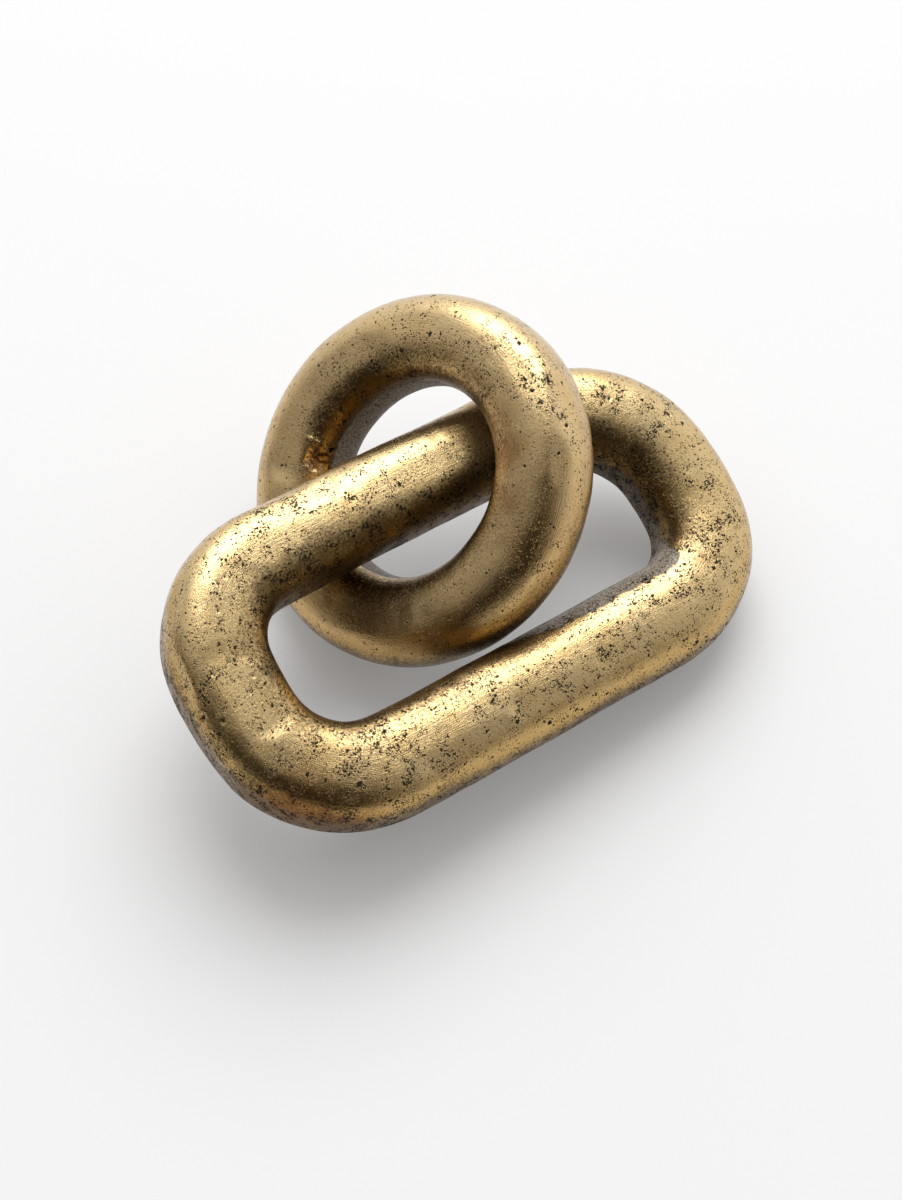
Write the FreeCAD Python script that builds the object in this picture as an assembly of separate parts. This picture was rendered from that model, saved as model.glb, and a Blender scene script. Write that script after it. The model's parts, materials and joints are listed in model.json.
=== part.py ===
import FreeCAD, Part
import math
import os

from FreeCAD import Vector

# Two loose castings linked like a chain: an oblong link, and a ring threaded on the link's rear rail.
# Lengths are millimetres and angles are degrees.
# +X runs along the link to its right end, +Y to the rear where the ring hangs, and +Z is up.
# The origin is the middle of the whole object's footprint, on the surface that it rests on.

# Oblong link: the line through the middle of its bar
# Each end has a short straight between two bends, and one bend is wider than the other.
LINK_HALF_LENGTH = 85.0
LINK_HALF_WIDTH = 38.7
RIGHT_END_STRAIGHT = 12.0
RIGHT_BENDS_OFFSET = 2.9
LEFT_END_STRAIGHT = 14.6
LEFT_BENDS_OFFSET = 2.0

# Half the thickness of the link's bar. The rails taper to their own thickness out of the bends.
BEND_HALF = 16.6
REAR_RAIL_HALF = 15.8
FRONT_RAIL_HALF = 17.1
RAIL_TAPER = 12.0

# Ring: as wide as it can be and still pass inside the front rail, and a little longer along the rail
RING_HALF = 14.9
RING_OVAL = 2.4
FRONT_ROOM = 0.6

# The cut that let the ring go over the rail, closed with braze, as an angle round the ring
BRAZE_ANGLE = 121.0
BRAZE_WIDTH = 3.0

# Both bars are square sections worn soft: four crowned faces joined by four shoulders.
# These shares of half the thickness are the radii of the crowns and of the shoulders.
# The outer walls were ground rounder than the inner walls.
LINK_OUTER_SHARES = (1.45, 0.72)
LINK_INNER_SHARES = (1.55, 0.7)
RING_OUTER_SHARES = (1.25, 0.85)
RING_INNER_SHARES = (1.5, 0.72)

# How the two pieces lie
END_DIP = 6.3
RING_PLACE_ON_RAIL = 5.9
SEAT_GAP = 1.2

ANGLE_PRECISION = 1e-7
QUARTER = math.pi / 2
UP = Vector(0, 0, 1)


# Sections of a bar

def soft_corner(half, shares):
    """Radii of crown and shoulder, half the angle of a crown, and the shoulder's centre on the diagonal."""
    crown = half * shares[0]
    shoulder = half * shares[1]
    spread = math.pi / 4 + math.asin((half - crown) / (crown - shoulder) / math.sqrt(2))
    return crown, shoulder, spread, (crown - shoulder) * math.sin(spread)


def half_section(half, shares):
    """Arcs from the bottom of a section over one side to its top: centre, radius and two angles."""
    crown, shoulder, spread, corner = soft_corner(half, shares)
    return [
        ((0, crown - half), crown, -QUARTER, spread - QUARTER),
        ((corner, -corner), shoulder, spread - QUARTER, -spread),
        ((half - crown, 0), crown, -spread, spread),
        ((corner, corner), shoulder, spread, QUARTER - spread),
        ((0, half - crown), crown, QUARTER - spread, QUARTER),
    ]


def section_wire(middle, outward, half, outer_shares, inner_shares):
    """The closed section of a bar, square to its run, with one side turned outward."""
    edges = []
    for side, shares in ((1, outer_shares), (-1, inner_shares)):
        for (across, height), radius, start, end in half_section(half, shares):
            centre = middle + outward * (side * across) + UP * height
            points = []
            for angle in (start, (start + end) / 2, end):
                swing = outward * (side * radius * math.cos(angle))
                points.append(centre + swing + UP * (radius * math.sin(angle)))
            edges.append(Part.Arc(*points).toShape())
    return Part.Wire(Part.sortEdges(edges)[0])


def reach(half, shares, across, height):
    """How far a section stands out in one direction, for laying two bars against each other."""
    crown, shoulder, spread, corner = soft_corner(half, shares)
    slant = math.atan2(abs(height), abs(across))
    if spread < slant < QUARTER - spread:
        return shoulder + corner * (math.cos(slant) + math.sin(slant))
    return crown + (half - crown) * max(math.cos(slant), math.sin(slant))


# Runs of a bar, drawn flat

def turned(angle):
    """A flat unit vector at an angle in radians."""
    return Vector(math.cos(angle), math.sin(angle), 0)


def bent_bar(centre, radius, start, end, half, outer_shares, inner_shares):
    """A stretch of bar that bends round a centre from one angle to another."""
    outward = turned(start)
    wire = section_wire(centre + outward * radius, outward, half, outer_shares, inner_shares)
    return Part.Face(wire).revolve(centre, UP, math.degrees(end - start))


def joined(bars):
    """Bars that meet end to end as one solid."""
    return bars[0].multiFuse(bars[1:]).Solids[0]


# The oblong link, with its middle at the origin
# Its sides are numbered anticlockwise: right end, rear rail, left end, front rail.

RIGHT_BEND = LINK_HALF_WIDTH - RIGHT_END_STRAIGHT / 2
LEFT_BEND = LINK_HALF_WIDTH - LEFT_END_STRAIGHT / 2
REAR_RIGHT_BEND = RIGHT_BEND + RIGHT_BENDS_OFFSET
REAR_LEFT_BEND = LEFT_BEND - LEFT_BENDS_OFFSET
FRONT_LEFT_BEND = LEFT_BEND + LEFT_BENDS_OFFSET
FRONT_RIGHT_BEND = RIGHT_BEND - RIGHT_BENDS_OFFSET

SIDE_REACHES = [LINK_HALF_LENGTH, LINK_HALF_WIDTH, LINK_HALF_LENGTH, LINK_HALF_WIDTH]
SIDE_HALVES = [BEND_HALF, REAR_RAIL_HALF, BEND_HALF, FRONT_RAIL_HALF]
BEND_RADII = [REAR_RIGHT_BEND, REAR_LEFT_BEND, FRONT_LEFT_BEND, FRONT_RIGHT_BEND]
SIDE_COUNT = len(SIDE_REACHES)


def side_outward(side):
    return turned(side % SIDE_COUNT * QUARTER)


def bend_centre(side):
    """The centre of the bend that follows a side."""
    after = (side + 1) % SIDE_COUNT
    radius = BEND_RADII[side]
    along = side_outward(side) * (SIDE_REACHES[side] - radius)
    return along + side_outward(after) * (SIDE_REACHES[after] - radius)


def make_side(side):
    """One straight side, with a taper at each end where its thickness differs from the bends'."""
    outward = side_outward(side)
    start = bend_centre(side - 1) + outward * BEND_RADII[side - 1]
    end = bend_centre(side) + outward * BEND_RADII[side]
    stations = [(start, BEND_HALF), (end, BEND_HALF)]
    if SIDE_HALVES[side] != BEND_HALF:
        taper = (end - start).normalize() * RAIL_TAPER
        stations[1:1] = [(start + taper, SIDE_HALVES[side]), (end - taper, SIDE_HALVES[side])]
    wires = []
    for middle, half in stations:
        wires.append(section_wire(middle, outward, half, LINK_OUTER_SHARES, LINK_INNER_SHARES))
    return Part.makeLoft(wires, True, True)


def make_link():
    bars = []
    for side in range(SIDE_COUNT):
        bars.append(make_side(side))
        bars.append(bent_bar(bend_centre(side), BEND_RADII[side], side * QUARTER, (side + 1) * QUARTER,
                             BEND_HALF, LINK_OUTER_SHARES, LINK_INNER_SHARES))
    return joined(bars)


# The ring, with its middle at the origin and its two crossings with the rail on the X axis
# Its oval is four arcs, tighter at the crossings, that meet at the diagonals.

RING_HALF_WIDTH = LINK_HALF_WIDTH + LINK_HALF_WIDTH - FRONT_RAIL_HALF - FRONT_ROOM - RING_HALF
RING_HALF_LENGTH = RING_HALF_WIDTH + RING_OVAL
OVAL_DIFFERENCE = RING_OVAL / (math.sqrt(2) - 1)
OVAL_OFFSET = OVAL_DIFFERENCE / math.sqrt(2)
CROSSING_BEND = RING_HALF_LENGTH - OVAL_OFFSET
SIDE_BEND = RING_HALF_WIDTH + OVAL_OFFSET


def ring_bar(start, end):
    """A stretch of the ring between two angles that lie in one of its four arcs."""
    arc = round((start + end) / 2 / QUARTER)
    if arc % 2 == 0:
        return bent_bar(turned(arc * QUARTER) * OVAL_OFFSET, CROSSING_BEND, start, end,
                        RING_HALF, RING_OUTER_SHARES, RING_INNER_SHARES)
    return bent_bar(turned(arc * QUARTER) * -OVAL_OFFSET, SIDE_BEND, start, end,
                    RING_HALF, RING_OUTER_SHARES, RING_INNER_SHARES)


BRAZE_HALF_TURN = BRAZE_WIDTH / 2 / SIDE_BEND
BRAZE_START = math.radians(BRAZE_ANGLE) - BRAZE_HALF_TURN
BRAZE_END = math.radians(BRAZE_ANGLE) + BRAZE_HALF_TURN


def make_ring():
    """The ring from one side of its cut all the way round to the other."""
    diagonals = [math.pi / 4 + quarter * QUARTER for quarter in range(1, 5)]
    stops = [BRAZE_END] + diagonals + [BRAZE_START + 2 * math.pi]
    return joined([ring_bar(start, end) for start, end in zip(stops, stops[1:])])


# How the pieces lie on each other
# The ring has fallen over on the rail as far as it goes. It touches the rail from above at one
# crossing and from below at the other, and its lowest point props the rail up off the surface.
# The link's other support is its front right bend.

def ring_lean(link_roll):
    """The least angle between the ring and the rail, and the lift of the ring's middle off the rail's."""
    low, high = 0, QUARTER
    across, height = math.sin(link_roll), math.cos(link_roll)
    while high - low > ANGLE_PRECISION:
        lean = (low + high) / 2
        ring_reach = reach(RING_HALF, RING_INNER_SHARES, math.sin(lean), math.cos(lean))
        over = reach(REAR_RAIL_HALF, LINK_OUTER_SHARES, across, height) + ring_reach
        under = reach(REAR_RAIL_HALF, LINK_INNER_SHARES, across, height) + ring_reach
        if RING_HALF_LENGTH * math.sin(lean) > (over + under) / 2 + SEAT_GAP:
            high = lean
        else:
            low = lean
    return high, (over - under) / 2


def rail_height_on_ring(lean, lift, dip):
    """Height of the rail's middle line where the ring's lowest point stands on the surface."""
    tilt = lean - dip
    foot = reach(RING_HALF, RING_OUTER_SHARES, math.sin(tilt), math.cos(tilt))
    return RING_HALF_LENGTH * math.sin(tilt) + foot - lift * math.cos(dip)


def rail_height_on_link(link_roll, dip):
    """The same height where the link's front right bend stands on the surface."""
    along = math.sin(dip)
    across = math.cos(dip) * math.sin(link_roll)
    sideways = math.hypot(along, across)
    height = (LINK_HALF_LENGTH - FRONT_RIGHT_BEND - RING_PLACE_ON_RAIL) * along
    height += (LINK_HALF_WIDTH + LINK_HALF_WIDTH - FRONT_RIGHT_BEND) * across
    height += FRONT_RIGHT_BEND * sideways
    return height + reach(BEND_HALF, LINK_OUTER_SHARES, sideways, math.cos(dip) * math.cos(link_roll))


def settle():
    """Roll of the link, lean of the ring and lift of the ring's middle off the rail's middle line."""
    dip = math.radians(END_DIP)
    low, high = 0, math.pi / 4
    while high - low > ANGLE_PRECISION:
        link_roll = (low + high) / 2
        lean, lift = ring_lean(link_roll)
        if rail_height_on_link(link_roll, dip) > rail_height_on_ring(lean, lift, dip):
            high = link_roll
        else:
            low = link_roll
    return link_roll, lean, lift


def place_pieces(link, ring, braze):
    """Lay the pieces down, and return a point and the direction of the line that the ring swings round."""
    link_roll, lean, lift = settle()
    print("link roll", round(math.degrees(link_roll), 3), "ring lean", round(math.degrees(lean), 3))
    dip_turn = FreeCAD.Rotation(Vector(0, 1, 0), END_DIP)
    link_turn = dip_turn.multiply(FreeCAD.Rotation(Vector(1, 0, 0), math.degrees(link_roll)))
    rail_along = link_turn.multVec(Vector(1, 0, 0))
    level_across = Vector(0, 1, 0)
    rail_upward = rail_along.cross(level_across)
    swing_point = link_turn.multVec(Vector(RING_PLACE_ON_RAIL, LINK_HALF_WIDTH, 0))
    ring_along = rail_along * math.cos(lean) + rail_upward * math.sin(lean)
    ring_upward = rail_upward * math.cos(lean) - rail_along * math.sin(lean)
    ring_turn = FreeCAD.Rotation(ring_along, level_across, ring_upward, "ZXY")
    link.Placement = FreeCAD.Placement(Vector(0, 0, 0), link_turn)
    for piece in (ring, braze):
        piece.Placement = FreeCAD.Placement(swing_point + rail_upward * lift, ring_turn)
    return swing_point, rail_along


def main():
    os.makedirs("parts", exist_ok=True)
    link = make_link()
    ring = make_ring()
    braze = ring_bar(BRAZE_START, BRAZE_END)
    swing_point, swing_axis = place_pieces(link, ring, braze)
    box = Part.Compound([link, ring, braze]).optimalBoundingBox(False, False)
    shift = Vector(-box.Center.x, -box.Center.y, -box.ZMin)
    for name, shape in (("oblong_link", link), ("ring", ring), ("closing_braze", braze)):
        shape.translate(shift)
        shape.exportStep("parts/" + name + ".step")
        print(name, "volume", round(shape.Volume), "valid", shape.isValid(), "faces", len(shape.Faces))
    print("overall", [round(length, 2) for length in (box.XLength, box.YLength, box.ZLength)])
    print("shift", [round(value, 4) for value in shift])
    print("swing point", [round(value, 4) for value in swing_point + shift])
    print("swing axis", [round(value, 6) for value in swing_axis])
    print("gap between link and ring", round(link.distToShape(ring)[0], 3))


main()
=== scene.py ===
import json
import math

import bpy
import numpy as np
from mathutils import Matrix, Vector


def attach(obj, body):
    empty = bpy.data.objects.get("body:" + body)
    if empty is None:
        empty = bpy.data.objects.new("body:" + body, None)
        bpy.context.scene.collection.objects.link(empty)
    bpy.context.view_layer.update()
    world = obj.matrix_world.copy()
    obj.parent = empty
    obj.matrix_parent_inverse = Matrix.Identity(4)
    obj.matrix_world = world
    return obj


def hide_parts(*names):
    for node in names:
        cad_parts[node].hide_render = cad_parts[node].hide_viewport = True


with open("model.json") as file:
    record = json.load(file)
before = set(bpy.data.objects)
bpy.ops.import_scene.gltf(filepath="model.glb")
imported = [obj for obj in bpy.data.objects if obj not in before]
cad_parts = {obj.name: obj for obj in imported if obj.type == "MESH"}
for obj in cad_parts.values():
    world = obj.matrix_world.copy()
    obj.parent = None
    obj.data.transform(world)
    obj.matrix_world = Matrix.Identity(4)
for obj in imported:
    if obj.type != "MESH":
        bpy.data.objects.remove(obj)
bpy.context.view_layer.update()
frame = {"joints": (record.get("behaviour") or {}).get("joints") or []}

# %% [markdown]
# A ring on a link, cast in rough brass.
# The object is two loops of thick bar, linked like two links of a chain and lying as dropped.
# The frame holds them as plain smooth solids. This lesson gives each its real surface: uneven by
# hand work, pitted by the sand that it was cast in, brushed to a satin, and brown in its hollows,
# with painted shade on what faces down and a painted highlight on the tops of the bars.
# Every length is in metres, so values that are written in millimetres are multiplied by MM.

MM = 0.001

# %% [markdown]
# The camera comes first, because later cells look up where a mark in the photograph lies on the
# metal. A picture's perspective gives its distance away: near things look larger than far ones of
# the same size. Here the lens is a 69 mm one on a 36 mm frame, and it looks down at 61 degrees.

# %% Camera
PICTURE_WIDTH, PICTURE_HEIGHT = 902, 1200
LENS, SENSOR = 69.0, 36.0
CAMERA_TURN, CAMERA_HEIGHT = math.radians(-33.83), math.radians(61.44)
CAMERA_DISTANCE = 776.9 * MM
CAMERA_AIM = Vector((4.53, -5.89, -0.1)) * MM

towards_camera = Vector((math.sin(CAMERA_TURN) * math.cos(CAMERA_HEIGHT),
                         -math.cos(CAMERA_TURN) * math.cos(CAMERA_HEIGHT),
                         math.sin(CAMERA_HEIGHT)))
camera = bpy.data.objects.new("camera", bpy.data.cameras.new("camera"))
bpy.context.scene.collection.objects.link(camera)
camera.data.lens, camera.data.sensor_width = LENS, SENSOR
camera.location = CAMERA_AIM + towards_camera * CAMERA_DISTANCE
camera.rotation_euler = (-towards_camera).to_track_quat("-Z", "Y").to_euler()
bpy.context.scene.camera = camera
bpy.context.view_layer.update()


def picture_place(points):
    """Columns, rows and depths of points in the photograph: sideways over depth, times the lens."""
    turn = np.array(camera.matrix_world.inverted())
    seen = points @ turn[:3, :3].T + turn[:3, 3]
    depth = -seen[..., 2]
    pixels = LENS / SENSOR * PICTURE_HEIGHT
    column = PICTURE_WIDTH / 2 + pixels * seen[..., 0] / depth
    row = PICTURE_HEIGHT / 2 - pixels * seen[..., 1] / depth
    return column, row, depth


print("the camera is", round(camera.location.z / MM), "mm above the table")

# %% [markdown]
# How the two pieces lie. The frame's hinge gives the line through the middle of the rear rail and
# the point of it where the ring hangs. The link is rolled about that line and the ring leans on it.

# %% Where the pieces lie
LINK_ROLL, RING_LEAN = math.radians(16.36), math.radians(44.6)
RING_PLACE_ON_RAIL, RAIL_OFFSET = 5.9 * MM, 38.7 * MM

swing = frame["joints"][0]
swing_point, rail_along = np.array(swing["pos_m"]), np.array(swing["axis"])
level = np.array((0.0, 1.0, 0.0))
rail_up = np.cross(rail_along, level)
link_across = math.cos(LINK_ROLL) * level + math.sin(LINK_ROLL) * rail_up
link_up = math.cos(LINK_ROLL) * rail_up - math.sin(LINK_ROLL) * level
link_middle = swing_point - RING_PLACE_ON_RAIL * rail_along - RAIL_OFFSET * link_across
ring_along = math.cos(RING_LEAN) * rail_along + math.sin(RING_LEAN) * rail_up
ring_up = math.cos(RING_LEAN) * rail_up - math.sin(RING_LEAN) * rail_along
print("middle of the link in mm:", np.round(link_middle / MM, 2))

# %% [markdown]
# Both bars have a section between a circle and a square, which a superellipse gives: its radius is
# (|cos|^e + |sin|^e)^(-1/e), a circle at e = 2 and squarer above that. The angle round a bar is 0
# on the outward side, a quarter turn on top, a half turn on the side that faces the hole.
# Hand grinding leaves slow swells and small flats. A sum of sine waves that run in random
# directions through space gives them. The link and the ring have seeds of their own, so they don't
# swell alike. The braze is part of the ring's surface and swells with it.

# %% Section and unevenness
def section_radius(angle, squareness):
    """Radius of a superellipse of unit half thickness, (|cos|^e + |sin|^e)^(-1/e)."""
    return (np.abs(np.cos(angle)) ** squareness + np.abs(np.sin(angle)) ** squareness) ** (-1 / squareness)


def swells(points, length, seed, count=24):
    """Sum of sine waves of about one length that run in random directions, between about -1 and 1."""
    random = np.random.default_rng(seed)
    directions = random.normal(size=(count, 3))
    directions /= np.linalg.norm(directions, axis=1)[:, None]
    waves = directions / (length * random.uniform(0.7, 1.5, count))[:, None] * 2 * math.pi
    total = np.sin(points @ waves.T + random.uniform(0, 2 * math.pi, count)).sum(axis=-1)
    return total / math.sqrt(count / 2) / 2


def ease(values, low, high):
    """A smooth step from 0 at low to 1 at high, 3t^2 - 2t^3."""
    share = np.clip((values - low) / (high - low), 0, 1)
    return share * share * (3 - 2 * share)


# %% [markdown]
# The link's bar runs along four sides and four bends. One could sweep a curve with a bevel, but a
# formula lets the bar swell and thin as it goes. Each side and bend fills its own stretch of the
# arrays: a side adds a low bow, a bend turns its outward direction through a quarter turn.

# %% Link: the line through the middle of its bar
LINK_REACHES = np.array((85.0, 38.5, 84.6, 38.3)) * MM
SIDE_BOWS = np.array((0.4, 0.6, 0.1, 0.3)) * MM
BEND_RADII = np.array((35.6, 29.4, 33.4, 29.8)) * MM
SIDE_HALVES = np.array((15.8, 15.7, 16.1, 16.9)) * MM
BEND_HALF = 16.4 * MM
PATH_BLUR = 4.0 * MM
STEPS_ALONG_LINK, STEPS_ROUND = 620, 158


def flat_direction(angle):
    """(cos, sin) of an angle."""
    return np.stack((np.cos(angle), np.sin(angle)), axis=-1)


def bend_centre(side):
    """Middle of the bend after a side: the reaches of both its sides, each less the bend's radius."""
    outward, after = flat_direction(np.array((side, side + 1)) * math.pi / 2)
    reach, reach_after = LINK_REACHES[side % 4], LINK_REACHES[(side + 1) % 4]
    radius = BEND_RADII[side % 4]
    return outward * (reach - radius) + after * (reach_after - radius)


def blurred(values, steps):
    """Values on a closed line, smoothed with a bell curve so many steps wide, by its Fourier form."""
    waves = np.fft.fftfreq(len(values))
    bell = np.exp(-2 * (math.pi * waves * steps) ** 2)
    return np.fft.ifft((np.fft.fft(values, axis=0).T * bell).T, axis=0).real


def link_path(steps):
    """Middle, outward angle and half thickness at even steps round the link, from the right end on."""
    starts, lengths = [], []
    for side in range(4):
        start = bend_centre(side - 1) + flat_direction(side * math.pi / 2) * BEND_RADII[side - 1]
        end = bend_centre(side) + flat_direction(side * math.pi / 2) * BEND_RADII[side]
        starts.append((start, end))
        lengths += [np.linalg.norm(end - start), BEND_RADII[side] * math.pi / 2]
    stops = np.concatenate(((0,), np.cumsum(lengths)))
    along = np.arange(steps) / steps * stops[-1]
    middle, angle, half = np.zeros((steps, 2)), np.zeros(steps), np.zeros(steps)
    for side in range(4):
        on = (along >= stops[2 * side]) & (along < stops[2 * side + 1])
        share = (along[on] - stops[2 * side]) / lengths[2 * side]
        start, end = starts[side]
        outward = flat_direction(side * math.pi / 2)
        bow = SIDE_BOWS[side] * np.sin(math.pi * share) ** 2
        middle[on] = start + (end - start) * share[:, None] + outward * bow[:, None]
        angle[on], half[on] = side * math.pi / 2, SIDE_HALVES[side]
        on = (along >= stops[2 * side + 1]) & (along < stops[2 * side + 2])
        share = (along[on] - stops[2 * side + 1]) / lengths[2 * side + 1]
        angle[on] = (side + share) * math.pi / 2
        middle[on] = bend_centre(side) + flat_direction(angle[on]) * BEND_RADII[side]
        nearest = np.where(share < 0.5, SIDE_HALVES[side], SIDE_HALVES[(side + 1) % 4])
        half[on] = nearest + (BEND_HALF - nearest) * np.sin(math.pi * share) ** 2
    middle = blurred(middle, PATH_BLUR * steps / stops[-1])
    after, before = np.roll(middle, -1, 0), np.roll(middle, 1, 0)
    angle = np.arctan2(*(after - before).T[::-1]) - math.pi / 2
    return along, middle, angle, blurred(half, PATH_BLUR * steps / stops[-1])


link_along, link_line, link_angle, link_half = link_path(STEPS_ALONG_LINK)
print("the link's bar is", round(link_along[-1] / MM), "mm long")

# %% [markdown]
# The section is now carried along that line. Rows of the grid run round the bar and columns run
# along it. The outer wall is a little rounder than the inner one, and the swells are added to the
# radius. The lowest skin is lifted to the table, where a heavy casting wears itself a small foot.

# %% Link: its surface
def bar_surface(middle, outward, up, half, angles, squareness, unevenness):
    """Points of a bar: middle + outward * r cos + up * r sin, with r the section's radius."""
    radius = half[:, None] * section_radius(angles[None, :], squareness)
    smooth = (middle[:, None, :] + outward[:, None, :] * (radius * np.cos(angles))[..., None]
              + up * (radius * np.sin(angles))[..., None])
    radius = radius + unevenness(smooth)
    points = (middle[:, None, :] + outward[:, None, :] * (radius * np.cos(angles))[..., None]
              + up * (radius * np.sin(angles))[..., None])
    points[..., 2] = np.maximum(points[..., 2], 0)
    return points


def outward_normals(points, closed=True):
    """Unit normals of a grid: the cross product of its steps along and round the bar."""
    if closed:
        step_along = np.roll(points, -1, 0) - np.roll(points, 1, 0)
    else:
        step_along = np.gradient(points, axis=0)
    step_round = np.roll(points, -1, 1) - np.roll(points, 1, 1)
    normals = np.cross(step_along, step_round)
    return normals / np.linalg.norm(normals, axis=-1)[..., None]


def link_unevenness(points):
    """Swells of three lengths, sunk by 0.1 mm."""
    return (0.22 * swells(points, 45 * MM, 1) + 0.10 * swells(points, 17 * MM, 2)
            + 0.035 * swells(points, 6 * MM, 3) - 0.1) * MM


LINK_SQUARENESS, LEFT_END_SQUARER, OUTER_ROUNDING = 2.5, 0.4, 0.12
LEFT_END_START, LEFT_END_FULL = 35 * MM, 60 * MM

round_angles = np.arange(STEPS_ROUND) / STEPS_ROUND * 2 * math.pi - math.pi / 2
left_end = ease(-link_line[:, 0], LEFT_END_START, LEFT_END_FULL)[:, None]
link_squareness = (LINK_SQUARENESS + LEFT_END_SQUARER * left_end
                   - OUTER_ROUNDING * np.cos(round_angles)[None, :])
link_line_3d = link_middle + link_line[:, :1] * rail_along + link_line[:, 1:] * link_across
link_outward = np.cos(link_angle)[:, None] * rail_along + np.sin(link_angle)[:, None] * link_across
link_points = bar_surface(link_line_3d, link_outward, link_up, link_half, round_angles,
                          link_squareness, link_unevenness)
link_normals = outward_normals(link_points)
print("link from", np.round(link_points.min((0, 1)) / MM, 1),
      "to", np.round(link_points.max((0, 1)) / MM, 1))

# %% [markdown]
# The ring is made the same way. Its line is a circle drawn out a little along the rail, where it
# bears on it. A cut and its braze lie at 121 degrees, so the ring runs from one face of the cut
# round to the other, and the braze is a short stretch of the same surface between them.

# %% Ring and braze: their surface
RING_RADIUS, RING_OVAL, RING_HALF = 46.0 * MM, 1.2 * MM, 14.6 * MM
BRAZE_ANGLE, BRAZE_WIDTH = math.radians(121.0), 3.0 * MM
BRAZE_HALF_TURN = BRAZE_WIDTH / 2 / RING_RADIUS
STEPS_ALONG_RING, STEPS_ALONG_BRAZE = 520, 8
RING_SQUARENESS = 2.52


def ring_unevenness(points):
    """Lower swells of three lengths, sunk by 0.05 mm."""
    return (0.16 * swells(points, 38 * MM, 11) + 0.07 * swells(points, 14 * MM, 12)
            + 0.02 * swells(points, 5 * MM, 13) - 0.05) * MM


def ring_surface(turns):
    """Points of the ring at angles round it, whose radius is 46 mm + 1.2 mm * cos of twice the angle."""
    line = (RING_RADIUS + RING_OVAL * np.cos(2 * turns))[:, None] * flat_direction(turns)
    outward = np.cos(turns)[:, None] * ring_along + np.sin(turns)[:, None] * level
    middle = swing_point + line[:, :1] * ring_along + line[:, 1:] * level
    squareness = RING_SQUARENESS - OUTER_ROUNDING * np.cos(round_angles)[None, :]
    return bar_surface(middle, outward, ring_up, np.full(len(turns), RING_HALF), round_angles,
                       squareness, ring_unevenness)


ring_turns = np.linspace(BRAZE_ANGLE + BRAZE_HALF_TURN, BRAZE_ANGLE - BRAZE_HALF_TURN + 2 * math.pi,
                         STEPS_ALONG_RING)
braze_turns = np.linspace(BRAZE_ANGLE - BRAZE_HALF_TURN, BRAZE_ANGLE + BRAZE_HALF_TURN, STEPS_ALONG_BRAZE)
ring_points, braze_points = ring_surface(ring_turns), ring_surface(braze_turns)
ring_normals = outward_normals(ring_points, closed=False)
braze_normals = outward_normals(braze_points, closed=False)
print("ring from", np.round(ring_points.min((0, 1)) / MM, 1),
      "to", np.round(ring_points.max((0, 1)) / MM, 1))

# %% [markdown]
# Marks that the photograph shows are named by their place in it, in pixels. Each is found on the
# metal as the nearest point that faces the camera under that pixel, so it stays there in any view.

# %% Finding a pixel on the metal
NEAR_PIXELS = 4


def on_metal(points, normals, pixel):
    """The nearest point of a surface that faces the camera within 4 pixels of a place in the photograph."""
    column, row, depth = picture_place(points)
    facing = ((np.array(camera.location) - points) * normals).sum(-1) > 0
    near = (np.hypot(column - pixel[0], row - pixel[1]) < NEAR_PIXELS) & facing
    place = np.argmin(np.where(near, depth, np.inf))
    return points.reshape(-1, 3)[place]


def patches(points, places, owner_points, owner_normals):
    """How strongly points lie in round patches: strength * e^(-(distance / radius)^2), the most of all.

    Each patch has its column and row in the picture, found on an owner surface, its radius in
    millimetres and its strength.
    """
    total = np.zeros(points.shape[:2])
    for column, row, radius, strength in places:
        centre = on_metal(owner_points, owner_normals, (column, row))
        away = np.linalg.norm(points - centre, axis=-1)
        total = np.maximum(total, strength * np.exp(-(away / (radius * MM)) ** 2))
    return total


LINK_PIT_PATCHES = [
    (205, 690, 9, 0.9), (193, 665, 5, 0.8), (235, 560, 12, 0.5), (260, 520, 12, 0.7), (300, 500, 12, 0.7),
    (345, 490, 10, 0.6), (395, 475, 8, 0.6), (270, 712, 6, 0.9), (281, 773, 8, 0.9), (335, 745, 12, 0.7),
    (380, 740, 12, 0.8), (437, 754, 8, 1.0), (400, 775, 9, 0.9), (350, 775, 9, 0.8), (520, 712, 7, 0.8),
    (495, 700, 7, 0.7), (560, 690, 9, 0.8), (600, 655, 9, 0.8), (640, 640, 8, 0.8), (560, 655, 10, 0.5),
    (600, 630, 9, 0.7), (640, 600, 9, 0.6), (660, 600, 7, 0.7), (610, 395, 8, 0.8), (660, 420, 9, 0.9),
    (705, 485, 8, 0.9), (706, 548, 9, 1.0), (725, 520, 8, 0.8), (735, 560, 7, 0.8), (690, 580, 9, 0.7),
    (700, 620, 9, 0.6), (680, 640, 8, 0.6), (655, 455, 6, 0.5), (250, 665, 7, 0.7), (225, 625, 7, 0.5),
    (330, 580, 12, 0.7), (390, 550, 12, 0.7), (450, 520, 10, 0.7), (480, 470, 8, 0.5),
    (300, 560, 12, 0.6), (360, 540, 12, 0.6), (420, 510, 9, 0.6), (580, 400, 6, 0.8),
]
RING_PIT_PATCHES = [
    (550, 377, 5, 1.0), (568, 418, 5, 1.0), (530, 365, 10, 0.7), (500, 340, 10, 0.5), (420, 345, 14, 0.5),
    (350, 370, 12, 0.7), (400, 358, 9, 1.0), (450, 352, 8, 0.9), (370, 375, 8, 0.9), (320, 430, 7, 0.9),
    (352, 385, 8, 1.0), (335, 410, 8, 1.0), (478, 395, 7, 0.7), (300, 450, 5, 0.8),
    (520, 375, 8, 0.9), (545, 400, 8, 0.8), (560, 440, 7, 0.6), (330, 400, 10, 0.5), (505, 385, 6, 0.8),
    (535, 565, 8, 0.7),
    (545, 545, 6, 0.6), (440, 320, 9, 0.4), (480, 360, 8, 0.5), (520, 590, 8, 0.4), (400, 600, 6, 0.4),
]
BRAZE_PIT_PATCHES = [(325, 430, 6, 1.0)]
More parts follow.
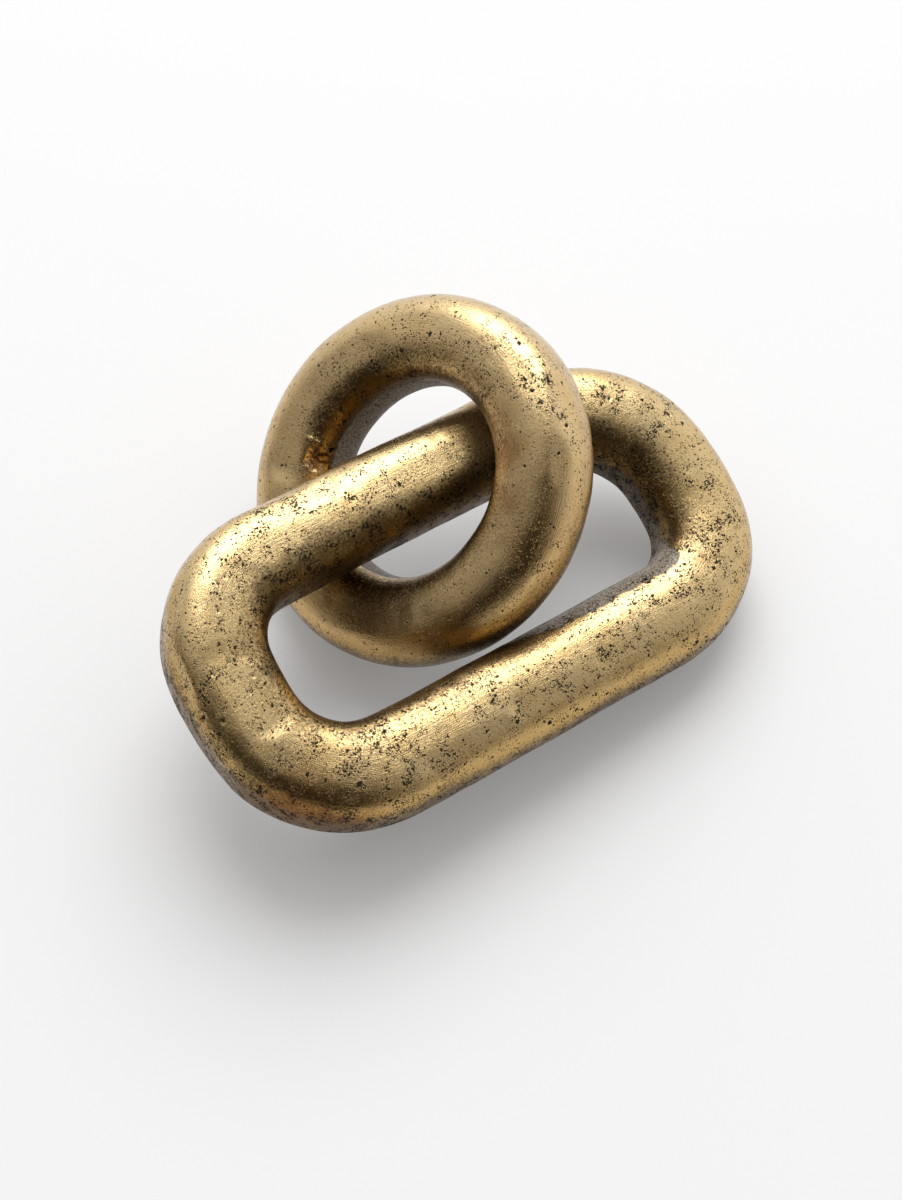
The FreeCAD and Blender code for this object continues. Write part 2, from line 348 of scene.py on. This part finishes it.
# Patches where the brown mix of patina and painted shade is darker, at places given in pixels.
LINK_DARKER_PATCHES = [(285, 790, 13, 0.5), (335, 805, 13, 0.5), (225, 730, 10, 0.35), (225, 650, 8, 0.3)]
RING_DARKER_PATCHES = [(333, 430, 8, 0.5), (350, 408, 8, 0.5), (370, 392, 8, 0.5)]
LINK_WARM_PATCHES = [
    (300, 815, 16, 0.8), (360, 825, 14, 0.6), (640, 575, 7, 0.6), (700, 555, 5, 0.5), (330, 540, 6, 0.3),
]
RING_WARM_PATCHES = [
    (505, 450, 9, 0.8), (510, 500, 8, 0.6), (318, 462, 4.5, 0.9), (500, 420, 8, 0.5), (420, 640, 9, 0.3),
    (380, 610, 14, 0.5), (450, 612, 12, 0.4), (512, 545, 10, 0.4),
]

link_warm = patches(link_points, LINK_WARM_PATCHES, link_points, link_normals)
ring_warm = patches(ring_points, RING_WARM_PATCHES, ring_points, ring_normals)
link_pitting = patches(link_points, LINK_PIT_PATCHES, link_points, link_normals)
ring_pitting = patches(ring_points, RING_PIT_PATCHES, ring_points, ring_normals)
braze_pitting = patches(braze_points, BRAZE_PIT_PATCHES, ring_points, ring_normals)
braze_warm = patches(braze_points, RING_WARM_PATCHES, ring_points, ring_normals)
print("mean pitting of the link:", round(float(link_pitting.mean()), 2))

# %% [markdown]
# A belt or a file leaves small flats with crisp edges, and on a satin bar those edges are what the
# eye follows. A flat is what lies above a plane, pressed down on it. The smooth form of "the larger
# of h and 0", (h + sqrt(h^2 + e^2)) / 2, rounds its edge over about a quarter of a millimetre.

# %% Ground flats
FLAT_EDGE, FLAT_SINK = 0.25 * MM, 0.6
FLAT_INNER_REACH, FLAT_OUTER_REACH = 13 * MM, 19 * MM
LINK_FLATS = [
    (172, 600, 1.5), (176, 680, 1.5), (212, 770, 1.4), (236, 610, 0.8), (243, 690, 0.5), (290, 762, 0.6),
    (290, 500, 0.5), (420, 470, 0.4), (350, 800, 0.5), (470, 745, 0.4), (560, 690, 0.4), (640, 640, 0.4),
    (738, 590, 0.6),
]
RING_FLATS = [
    (566, 400, 1.2), (562, 460, 0.9), (520, 370, 0.7), (430, 320, 0.5), (330, 370, 0.5), (290, 430, 0.5),
    (450, 645, 0.6), (540, 590, 0.5), (360, 620, 0.5),
]


def grind(points, places, owner_points, owner_normals):
    """Press what stands above a plane down on it, for planes that lie 0.6 of a depth below some places."""
    for column, row, depth in places:
        centre = on_metal(owner_points, owner_normals, (column, row))
        nearest = np.argmin(np.linalg.norm(owner_points.reshape(-1, 3) - centre, axis=-1))
        facing = owner_normals.reshape(-1, 3)[nearest]
        above = (points - centre) @ facing + FLAT_SINK * depth * MM
        near = 1 - ease(np.linalg.norm(points - centre, axis=-1), FLAT_INNER_REACH, FLAT_OUTER_REACH)
        pressed = (above + np.sqrt(above ** 2 + FLAT_EDGE ** 2)) / 2 * near
        points = points - facing * pressed[..., None]
    return points


link_base, ring_base, braze_base = link_points, ring_points, braze_points
link_points = grind(link_base, LINK_FLATS, link_base, link_normals)
ring_points = grind(ring_base, RING_FLATS, ring_base, ring_normals)
braze_points = grind(braze_base, RING_FLATS, ring_base, ring_normals)

# %% [markdown]
# The ring was cut to go over the rail, and brazed. The photograph shows the place as a shallow torn
# recess with a thin lip of bright metal, so both are pressed and raised along the normal.

# %% Scar of the braze
RECESS_PIXEL, LIP_START_PIXEL, LIP_END_PIXEL = (318, 463), (304, 438), (323, 447)
RECESS_RADIUS, RECESS_DEPTH = 4.2 * MM, 1.0 * MM
LIP_HEIGHT, LIP_WIDTH = 1.1 * MM, 0.5 * MM


def scar(points, normals):
    """The torn place by the braze: a shallow ragged recess, and a lip that stands up along its edge."""
    recess = on_metal(ring_base, ring_normals, RECESS_PIXEL)
    lip_start = on_metal(ring_base, ring_normals, LIP_START_PIXEL)
    lip_end = on_metal(ring_base, ring_normals, LIP_END_PIXEL)
    ragged_radius = RECESS_RADIUS * (1 + 0.35 * swells(points, 4 * MM, 31))
    away = np.linalg.norm(points - recess, axis=-1) / ragged_radius
    height = -RECESS_DEPTH * np.clip(1 - away ** 2, 0, 1) * (1 + 0.5 * swells(points, 1.6 * MM, 32))
    run = lip_end - lip_start
    share = np.clip(((points - lip_start) @ run) / (run @ run), 0, 1)
    aside = np.linalg.norm(points - lip_start - share[..., None] * run, axis=-1)
    torn = np.clip(0.55 + 0.6 * swells(points, 2.2 * MM, 33), 0, 1)
    height = height + LIP_HEIGHT * np.exp(-(aside / LIP_WIDTH) ** 2) * torn
    return points + normals * height[..., None]


ring_points, braze_points = scar(ring_points, ring_normals), scar(braze_points, braze_normals)

# %% [markdown]
# The largest pits are real hollows in the mesh, so that their rims catch the light. Each is a
# bowl pressed in along the normal: its depth falls off as 1 - (distance / radius)^2.

# %% Open pits
LINK_HOLES = [
    (199, 719, 1.1, 1.4), (220, 722, 0.7, 0.8), (221, 608, 0.9, 0.5), (175, 602, 0.5, 0.5),
    (222, 582, 0.5, 0.5), (252, 689, 0.6, 0.6), (213, 670, 0.6, 0.7), (254, 672, 0.6, 0.6),
    (672, 413, 0.7, 0.6), (700, 440, 0.6, 0.6), (228, 576, 0.5, 0.5), (610, 395, 0.7, 0.6),
]
RING_HOLES = [
    (421, 314, 0.9, 0.5), (492, 347, 0.8, 0.5), (552, 378, 0.9, 0.6), (566, 412, 0.9, 0.6),
    (446, 619, 0.6, 0.4), (403, 622, 0.6, 0.4), (571, 424, 0.9, 0.6), (333, 454, 1.3, 0.8),
]


def press_holes(points, normals, places, owner_points, owner_normals):
    """Press bowls into a surface, and return it with a mask that rises to 1 at the middles of the bowls."""
    depth = np.zeros(points.shape[:2])
    mask = np.zeros(points.shape[:2])
    for column, row, radius, deepest in places:
        centre = on_metal(owner_points, owner_normals, (column, row))
        ragged = 1 + 0.5 * swells(points, 1.7 * radius * MM, int(column))
        away = np.linalg.norm(points - centre, axis=-1) / (radius * ragged * MM)
        bowl = np.clip(1 - away ** 2, 0, 1)
        depth = np.maximum(depth, bowl * deepest * MM)
        mask = np.maximum(mask, np.sqrt(bowl))
    return points - normals * depth[..., None], mask


link_points, link_holes = press_holes(link_points, link_normals, LINK_HOLES, link_base, link_normals)
ring_points, ring_holes = press_holes(ring_points, ring_normals, RING_HOLES, ring_base, ring_normals)
braze_points, braze_holes = press_holes(braze_points, braze_normals, RING_HOLES, ring_base, ring_normals)

# %% [markdown]
# Raw casting skin is left where no wheel could reach: a grey strip on the walls that face the
# hole. What the shader needs is how far inside the strip a point lies, in millimetres, so that a
# little noise added to it there gives the strip its sharp ragged edge. The strip's half width and
# its middle, in degrees round the bar, change from one side of the link to the next.

# %% Raw skin on the inner walls
BAR_HALF_FOR_STRIP = 16.0
RING_STRIP_MIDDLE, RING_STRIP_HALF = math.pi + math.radians(5), math.radians(27)


def wrapped(angle):
    """The same angle between minus and plus half a turn."""
    return (angle + math.pi) % (2 * math.pi) - math.pi


def strip_depth(middle_angle, half_width):
    """Millimetres inside a strip round a middle angle, on a bar that is 16 mm in half thickness."""
    return (half_width - np.abs(wrapped(round_angles - middle_angle))) * BAR_HALF_FOR_STRIP


side_share = ease(np.cos(link_angle), -0.2, 0.9)
front_share = ease(-np.sin(link_angle), 0.5, 1.0) * ease(link_line[:, 0], -35 * MM, 25 * MM)
left_share = ease(-np.cos(link_angle), 0.2, 0.9)
rear_share = ease(np.sin(link_angle), 0.5, 1.0)
strip_half = np.radians(17 + 3 * side_share + 37 * front_share - 8 * left_share - 14 * rear_share)
strip_middle = math.pi + np.radians(18 - 10 * side_share - 14 * front_share)
link_raw = strip_depth(strip_middle[:, None], strip_half[:, None])
ring_strip = strip_depth(RING_STRIP_MIDDLE, RING_STRIP_HALF)
ring_raw = np.broadcast_to(ring_strip, ring_points.shape[:2])
braze_raw = np.broadcast_to(ring_strip, braze_points.shape[:2])

# %% [markdown]
# Brown patina is left where wiping doesn't reach, on the walls that face the hole. Painted shade
# darkens the sides and undersides by how far they face down, the outer wall of the link's left end
# and the inner wall of its rear rail, and darker patches, placed by pixel, are added. On the link
# those walls and the edge of the raw strip are pitted too, and the tops get a painted highlight.

# %% Patina, painted shade and a painted highlight on the tops
def patina_and_painted_shade(normals, inner_share, side_share):
    """Brown patina on the walls that face the hole, and painted shade on the sides and undersides that face
    down.
    """
    side = ease(-normals[..., 2], -0.55, 0.1)
    under = ease(-normals[..., 2], -0.1, 0.6)
    return np.clip(0.7 * inner_share + side_share * side + 0.3 * under, 0, 1)


def top_highlight_share(normals):
    """Painted highlight: how far a surface faces up, so that the tops of the bars turn paler."""
    return ease(normals[..., 2], 0.25, 0.95)


inner_share = ease(-np.cos(round_angles), -0.1, 0.8) * (1 - 0.6 * front_share[:, None])
link_patina_and_shade = patina_and_painted_shade(link_normals, inner_share, 0.7)
# The outer wall of the left end and the inner wall of the rear rail get painted shade as well.
link_patina_and_shade = np.clip(link_patina_and_shade + 0.3 * left_share[:, None] * ease(np.cos(round_angles), 0.4, 0.8)
                      + 0.4 * rear_share[:, None] * ease(-np.cos(round_angles), 0.15, 0.7)
                      + patches(link_base, LINK_DARKER_PATCHES, link_base, link_normals), 0, 1)
link_pitting = np.maximum(link_pitting, 0.75 * ease(link_patina_and_shade, 0.3, 0.8))
link_pitting = np.maximum(link_pitting, 0.6 * np.exp(-(link_raw / 3) ** 2))
ring_patina_and_shade = np.clip(patina_and_painted_shade(ring_normals, inner_share[:1] * 0.7, 0.5)
                      + patches(ring_base, RING_DARKER_PATCHES, ring_base, ring_normals), 0, 1)
braze_patina_and_shade = np.clip(patina_and_painted_shade(braze_normals, inner_share[:1] * 0.7, 0.5)
                       + patches(braze_base, RING_DARKER_PATCHES, ring_base, ring_normals), 0, 1)

# %% [markdown]
# A grid of points becomes a mesh here. Corners are counted row by row, and the last row joins the
# first on a closed bar. An open bar gets a flat end from a fan of triangles. The mesh also carries
# its own map in real lengths along and round the bar, and the named values that the finish reads.

# %% From a grid to a mesh
def bar_mesh(name, points, along, values, closed):
    """Make an object from a grid of points, with its map and its per-point values."""
    rows, columns = points.shape[:2]
    last = rows if closed else rows - 1
    row, column = np.meshgrid(np.arange(last), np.arange(columns), indexing="ij")
    corners = np.stack(((row, column), (row + 1, column), (row + 1, column + 1), (row, column + 1)))
    quads = (corners[:, 0] % rows * columns + corners[:, 1] % columns).reshape(4, -1).T
    vertices = points.reshape(-1, 3)
    faces = quads.tolist()
    if not closed:
        for end_row, order in ((0, 1), (rows - 1, -1)):
            centre = len(vertices)
            vertices = np.vstack((vertices, points[end_row].mean(0)))
            rim = end_row * columns + np.arange(columns)
            fan = np.stack((np.full(columns, centre), rim, np.roll(rim, -1)))
            faces += fan.T[:, ::order].tolist()
    mesh = bpy.data.meshes.new(name)
    mesh.from_pydata(vertices.tolist(), [], faces)
    bar_map = mesh.uv_layers.new(name="bar_map")
    step_along = along[1] - along[0]
    map_along = corners[:, 0].reshape(4, -1).T * step_along
    girth = np.linalg.norm(np.diff(points[0], axis=0), axis=1).sum()
    map_round = corners[:, 1].reshape(4, -1).T * (girth / columns)
    flat = np.zeros((len(mesh.loops), 2), np.float32)
    flat[:map_along.size] = np.stack((map_along.ravel(), map_round.ravel()), axis=-1)
    bar_map.data.foreach_set("uv", flat.ravel())
    for value_name, value in values.items():
        layer = mesh.attributes.new(value_name, "FLOAT", "POINT")
        per_vertex = np.zeros(len(vertices), np.float32)
        per_vertex[:rows * columns] = np.asarray(value, np.float32).ravel()
        layer.data.foreach_set("value", per_vertex)
    mesh.shade_smooth()
    if not closed:
        ends = np.zeros(len(mesh.edges) * 2, np.int32)
        mesh.edges.foreach_get("vertices", ends)
        row_of = ends.reshape(-1, 2) // columns
        on_rim = (row_of[:, 0] == row_of[:, 1]) & np.isin(row_of[:, 0], (0, rows - 1))
        rim_edges = mesh.attributes.new("sharp_edge", "BOOLEAN", "EDGE")
        rim_edges.data.foreach_set("value", on_rim)
    made = bpy.data.objects.new(name, mesh)
    bpy.context.scene.collection.objects.link(made)
    print(name, "has", len(mesh.polygons), "faces")
    return made


# %% [markdown]
# Each piece now becomes an object. It rides on a body of the frame and takes the place of one of
# the frame's solids.

# %% The three pieces
link = bar_mesh("oblong_link_casting", link_points, link_along,
                {"pitting": link_pitting, "holes": link_holes, "raw": link_raw, "patina_and_shade": link_patina_and_shade,
                 "top_highlight": top_highlight_share(link_normals), "warm": link_warm}, True)
ring = bar_mesh("ring_casting", ring_points, ring_turns * RING_RADIUS,
                {"pitting": ring_pitting, "holes": ring_holes, "raw": ring_raw, "patina_and_shade": ring_patina_and_shade,
                 "top_highlight": top_highlight_share(ring_normals), "warm": ring_warm}, False)
braze = bar_mesh("closing_braze_metal", braze_points, braze_turns * RING_RADIUS,
                 {"pitting": braze_pitting, "holes": braze_holes, "raw": braze_raw, "patina_and_shade": braze_patina_and_shade,
                 "top_highlight": top_highlight_share(braze_normals), "warm": braze_warm}, False)
for piece, body, node, slot in ((link, "link_body", "oblong_link", "link_metal"),
                                (ring, "ring_body", "ring", "ring_metal"),
                                (braze, "ring_body", "closing_braze", "braze")):
    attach(piece, body)
    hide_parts(node)

# %% [markdown]
# Blender's shaders are graphs of small nodes. Written out node by node, a formula disappears, so
# this class wraps a socket and lets sums of sockets be written as sums. Colours are mixed by one
# more method, and every other node comes from a single method that takes its type and settings.

# %% Writing shaders as sums
class Wire:
    """A value on its way between shader nodes."""

    def __init__(self, paint, socket):
        self.paint, self.socket = paint, socket

    def maths(self, operation, *values):
        """The result of one kind of arithmetic on some values."""
        node = self.paint.node("ShaderNodeMath", {"operation": operation}, dict(enumerate(values)))
        return Wire(self.paint, node.outputs[0])

    def __add__(self, other):
        return self.maths("ADD", self, other)

    def __sub__(self, other):
        return self.maths("SUBTRACT", self, other)

    def __rsub__(self, other):
        return self.maths("SUBTRACT", other, self)

    def __mul__(self, other):
        return self.maths("MULTIPLY", self, other)

    def most(self, other):
        """The larger of two values."""
        return self.maths("MAXIMUM", self, other)

    def step(self, low, high):
        """A smooth step from 0 at low to 1 at high."""
        node = self.paint.node("ShaderNodeMapRange", {"interpolation_type": "SMOOTHSTEP"},
                               {0: self, 1: low, 2: high})
        return Wire(self.paint, node.outputs[0])

    __radd__, __rmul__ = __add__, __mul__


class Paint:
    """A material that is being written."""

    def __init__(self, name):
        self.material = bpy.data.materials.new(name)
        self.material.use_nodes = True
        self.tree = self.material.node_tree
        self.tree.nodes.clear()

    def node(self, kind, settings=None, sockets=None):
        """A new node of a kind, with its settings and what goes into its sockets."""
        made = self.tree.nodes.new(kind)
        for key, value in (settings or {}).items():
            setattr(made, key, value)
        for key, value in (sockets or {}).items():
            if isinstance(value, Wire):
                self.tree.links.new(value.socket, made.inputs[key])
            else:
                made.inputs[key].default_value = value
        return made

    def wire(self, kind, output, settings=None, sockets=None):
        """One output of a new node."""
        return Wire(self, self.node(kind, settings, sockets).outputs[output])

    def attribute(self, name):
        """A value that the mesh carries for each of its points."""
        return self.wire("ShaderNodeAttribute", "Fac", {"attribute_name": name})

    def mix(self, share, first, second):
        """The first colour where the share is 0 and the second where it is 1."""
        return self.wire("ShaderNodeMix", 2, {"data_type": "RGBA"}, {0: share, 6: first, 7: second})

    def noise(self, place, size, detail=3.0, roughness=0.55):
        """Soft noise round 0.5, with lumps of about one size."""
        return self.wire("ShaderNodeTexNoise", 0, {},
                         {"Vector": place, "Scale": 1 / size, "Detail": detail, "Roughness": roughness})

    def shift(self, place, amount, size):
        """A place moved about by noise, so that a regular pattern turns ragged."""
        push = self.wire("ShaderNodeTexNoise", 1, {}, {"Vector": place, "Scale": 1 / size, "Detail": 2.0})
        scaled = self.wire("ShaderNodeVectorMath", 0, {"operation": "MULTIPLY_ADD"},
                           {0: push, 1: (amount,) * 3, 2: (-amount / 2,) * 3})
        return self.wire("ShaderNodeVectorMath", 0, {"operation": "ADD"}, {0: place, 1: scaled})


# %% [markdown]
# Sand-cast metal is full of open pores. Cells of a Voronoi pattern stand for them: each cell may
# hold one pore near its middle, and a random number of the cell decides if it does, so that a
# patch gets denser by letting more cells in. Three sizes, and scabs of noise between them, look
# like the real mixture.

# %% Pores
def pores(paint, place, size, share, widest=0.45):
    """1 inside pores, which fill the given share of cells of one size."""
    settings = {"voronoi_dimensions": "3D", "feature": "F1"}
    cells = paint.node("ShaderNodeTexVoronoi", settings, {"Vector": place, "Scale": 1 / size})
    parts = paint.node("ShaderNodeSeparateColor", {}, {0: Wire(paint, cells.outputs["Color"])})
    chosen = (share - Wire(paint, parts.outputs[0])).step(-0.04, 0.04)
    width = Wire(paint, parts.outputs[1]) * (widest * 0.6) + widest * 0.4
    depth = (width - Wire(paint, cells.outputs["Distance"])).step(0.0, 0.09)
    return chosen * depth


# %% [markdown]
# The finish itself. Brass is a metal, so its colour tints what it reflects, and its look comes
# from roughness and bumps as much as from colour. From below upward there is golden metal with
# brush strokes that follow the bar and a painted highlight on the tops, brown patina in the hollows
# and painted shade on what faces down, a few warm brown patches, grey skin where the casting was
# never ground, its dark edge, and the dark pores over all.

# %% Cast brass
# PALE is paler brass. It follows the brush streaks, and on the tops of the bars it is a painted highlight.
GOLD, TAN, PALE = (0.56, 0.352, 0.104, 1), (0.61, 0.39, 0.14, 1), (0.76, 0.62, 0.37, 1)
BROWN, WARM = (0.075, 0.037, 0.008, 1), (0.30, 0.125, 0.03, 1)
PORE, SKIN, DARK_SKIN = (0.008, 0.005, 0.003, 1), (0.52, 0.45, 0.36, 1), (0.11, 0.085, 0.06, 1)
FINE_CELL, MIDDLING_CELL, COARSE_CELL = 0.64 * MM, 1.05 * MM, 2.0 * MM
STROKE_LENGTH, STROKE_WIDTH = 9 * MM, 0.28 * MM
BUMP_DEPTH = 0.12 * MM


def cast_brass(name, metal, base_pitting, brushing, dullness, roughness):
    """The whole finish, with this piece's metal, and how pitted, brushed and dull it is."""
    paint = Paint(name)
    place = paint.wire("ShaderNodeTexCoord", "Object")
    bar_map = paint.wire("ShaderNodeUVMap", 0, {"uv_map": "bar_map"})
    pitting, holes = paint.attribute("pitting"), paint.attribute("holes")
    raw, patina_and_shade, top_highlight = paint.attribute("raw"), paint.attribute("patina_and_shade"), paint.attribute("top_highlight")
    warm = paint.attribute("warm")

    cloud = paint.noise(place, 14 * MM, 3.0)
    cluster = paint.noise(place, 4.5 * MM, 3.0)
    grain = paint.noise(place, 0.9 * MM, 4.0, 0.7)
    ragged = paint.shift(place, 1.2 * MM, 0.9 * MM)
    dense = (pitting + base_pitting) * (0.13 + cluster.step(0.37, 0.63) * 1.75)

    fine = pores(paint, ragged, FINE_CELL, dense * 0.8)
    middling = pores(paint, ragged, MIDDLING_CELL, dense * 0.5)
    coarse = pores(paint, ragged, COARSE_CELL, dense * 0.13)
    scab = (paint.noise(ragged, 0.8 * MM, 4.0, 0.6) + dense * 0.10 - 0.705).step(0.0, 0.05)
    pore = fine.most(middling).most(coarse).most(scab).most(holes.step(0.25, 0.7))

    stretch = (1 / STROKE_LENGTH, 1 / STROKE_WIDTH, 1.0)
    strokes = paint.wire("ShaderNodeMapping", 0, {}, {0: bar_map, 3: stretch})
    stroke = paint.wire("ShaderNodeTexNoise", 0, {}, {"Vector": strokes, "Scale": 1.0, "Detail": 3.0})

    skin_edge = raw + (paint.noise(place, 5 * MM, 4.0) - 0.5) * 4.5
    skin = skin_edge.step(0.0, 0.35)
    skin_line = skin_edge.step(-0.7, -0.1) * (1 - skin_edge.step(0.1, 0.9))
    skin_grain = paint.noise(paint.shift(place, 1.5 * MM, 1.5 * MM), 0.6 * MM, 4.0, 0.7)

    # Brown where the patina and the painted shade lie, and in clouds and grain.
    tarnish_and_shade = (patina_and_shade * 0.95 + dullness + (cloud - 0.5) * 1.1 + (grain - 0.5) * 2.0).step(0.1, 1.0)
    # Paler along the brush streaks, and a painted highlight on the tops of the bars.
    streaks_and_highlight = paint.mix(top_highlight * (0.2 + cloud * 0.5) + (stroke - 0.5) * 0.7, metal, PALE)
    bare = paint.mix(tarnish_and_shade * 0.85, streaks_and_highlight, BROWN)
    bare = paint.mix((warm + (grain - 0.5) * 0.6).step(0.1, 1.0) * 0.7, bare, WARM)
    with_skin = paint.mix(skin, bare, paint.mix(skin_grain.step(0.35, 0.7), DARK_SKIN, SKIN))
    with_line = paint.mix(skin_line * 0.8, with_skin, DARK_SKIN)
    colour = paint.mix(pore * 0.96, with_line, PORE)

    height = (grain - 0.5) * 0.9 + (stroke - 0.5) * brushing - pore * 0.35
    height = height + skin * (skin_grain - 0.5) * 1.6
    bump = paint.wire("ShaderNodeBump", 0, {}, {"Strength": 1.0, "Distance": BUMP_DEPTH, "Height": height})
    shader = paint.node("ShaderNodeBsdfPrincipled", {}, {
        "Base Color": colour,
        "Metallic": 1 - (pore * 0.85).most(skin * 0.8),
        "Specular IOR Level": 0.1,
        "Coat Weight": 0.5 * (1 - pore.most(patina_and_shade)),
        "Coat Roughness": 0.14,
        "Roughness": roughness + (grain - 0.5) * 0.12 + tarnish_and_shade * 0.08 + pore * 0.35 + skin * 0.15,
        "Normal": bump,
    })
    paint.node("ShaderNodeOutputMaterial", {}, {0: Wire(paint, shader.outputs[0])})
    return paint.material


link.data.materials.append(cast_brass("rough_cast_brass", GOLD, 0.42, 0.7, 0.03, 0.25))
ring.data.materials.append(cast_brass("brushed_cast_brass", TAN, 0.25, 0.9, 0.07, 0.23))
braze.data.materials.append(cast_brass("braze_brass", TAN, 0.25, 0.8, 0.12, 0.26))

# %% [markdown]
# The table is a wide pale sheet. To the camera its shade is drawn a little lighter than it lies in
# the light, so that it reads as the white ground of the picture and still keeps the shadow.

# %% Table
TABLE_HALF = 3.0
TABLE_COLOUR, WHITE = (0.85, 0.85, 0.855, 1), (1, 1, 1, 1)
GLOW_SHARE = 0.2


def make_table():
    """A wide square sheet at the height where the pieces rest."""
    mesh = bpy.data.meshes.new("table")
    corners = [(x * TABLE_HALF, y * TABLE_HALF, 0.0) for x, y in ((-1, -1), (1, -1), (1, 1), (-1, 1))]
    mesh.from_pydata(corners, [], [(0, 1, 2, 3)])
    table = bpy.data.objects.new("table", mesh)
    bpy.context.scene.collection.objects.link(table)
    paint = Paint("white_table")
    sheet = paint.wire("ShaderNodeBsdfPrincipled", 0, {},
                       {"Base Color": TABLE_COLOUR, "Roughness": 0.7, "Specular IOR Level": 0.2})
    glow = paint.wire("ShaderNodeEmission", 0, {}, {"Color": WHITE, "Strength": 1.0})
    rays = {name: paint.wire("ShaderNodeLightPath", name)
            for name in ("Is Camera Ray", "Is Glossy Ray", "Is Transmission Ray")}
    seen = rays["Is Camera Ray"].most(rays["Is Glossy Ray"]).most(rays["Is Transmission Ray"])
    both = paint.node("ShaderNodeMixShader", {}, {0: seen * GLOW_SHARE, 1: sheet, 2: glow})
    paint.node("ShaderNodeOutputMaterial", {}, {0: Wire(paint, both.outputs[0])})
    mesh.materials.append(paint.material)
    return table


make_table()

# %% [markdown]
# One large soft lamp stands far off to the right, behind and above, so the tops of the bars shine
# and the shadow falls to the left and towards the camera. The world is the room round it: bright on
# the right, with a glow high at the rear, and dim and warm on the other side, which the walls of
# metal that face the camera reflect.

# %% Light
LAMP_PLACE, LAMP_AIM, LAMP_SIZE, LAMP_POWER = (1.40, 1.88, 2.80), (0, 0, 0.03), 3.3, 104.0
BRIGHT_SIDE, REAR_SIDE = (0.906, 0.423, -0.1), (-0.25, 0.64, 0.73)
DIM_STRENGTH, SIDE_STRENGTH, REAR_STRENGTH = 0.03, 1.1, 0.65
WARM_TINT = (1.0, 0.74, 0.5, 1)


def soft_lamp(name, place, aim, size, power):
    """A round area lamp that faces a point."""
    lamp = bpy.data.objects.new(name, bpy.data.lights.new(name, "AREA"))
    bpy.context.scene.collection.objects.link(lamp)
    lamp.data.shape, lamp.data.size, lamp.data.energy = "DISK", size, power
    lamp.location = place
    lamp.rotation_euler = (Vector(place) - Vector(aim)).to_track_quat("Z", "Y").to_euler()


soft_lamp("window_lamp", LAMP_PLACE, LAMP_AIM, LAMP_SIZE, LAMP_POWER)


class Room(Paint):
    """The world, written as a material is."""

    def __init__(self, name):
        self.world = bpy.data.worlds.new(name)
        self.world.use_nodes = True
        self.tree = self.world.node_tree
        self.tree.nodes.clear()


room = Room("studio")
direction = room.wire("ShaderNodeTexCoord", "Generated")
facing, facing_rear = [room.wire("ShaderNodeVectorMath", "Value", {"operation": "DOT_PRODUCT"},
                                 {0: direction, 1: side}) for side in (BRIGHT_SIDE, REAR_SIDE)]
strength = (DIM_STRENGTH + SIDE_STRENGTH * facing.step(-0.6, 1.0)
            + REAR_STRENGTH * facing_rear.step(0.55, 1.0))
tint = room.mix(strength.step(0.0, 0.5), WARM_TINT, WHITE)
shade = room.node("ShaderNodeBackground", {}, {"Color": tint, "Strength": strength})
room.node("ShaderNodeOutputWorld", {}, {0: Wire(room, shade.outputs[0])})
bpy.context.scene.world = room.world
bpy.context.scene.view_settings.view_transform = "Standard"
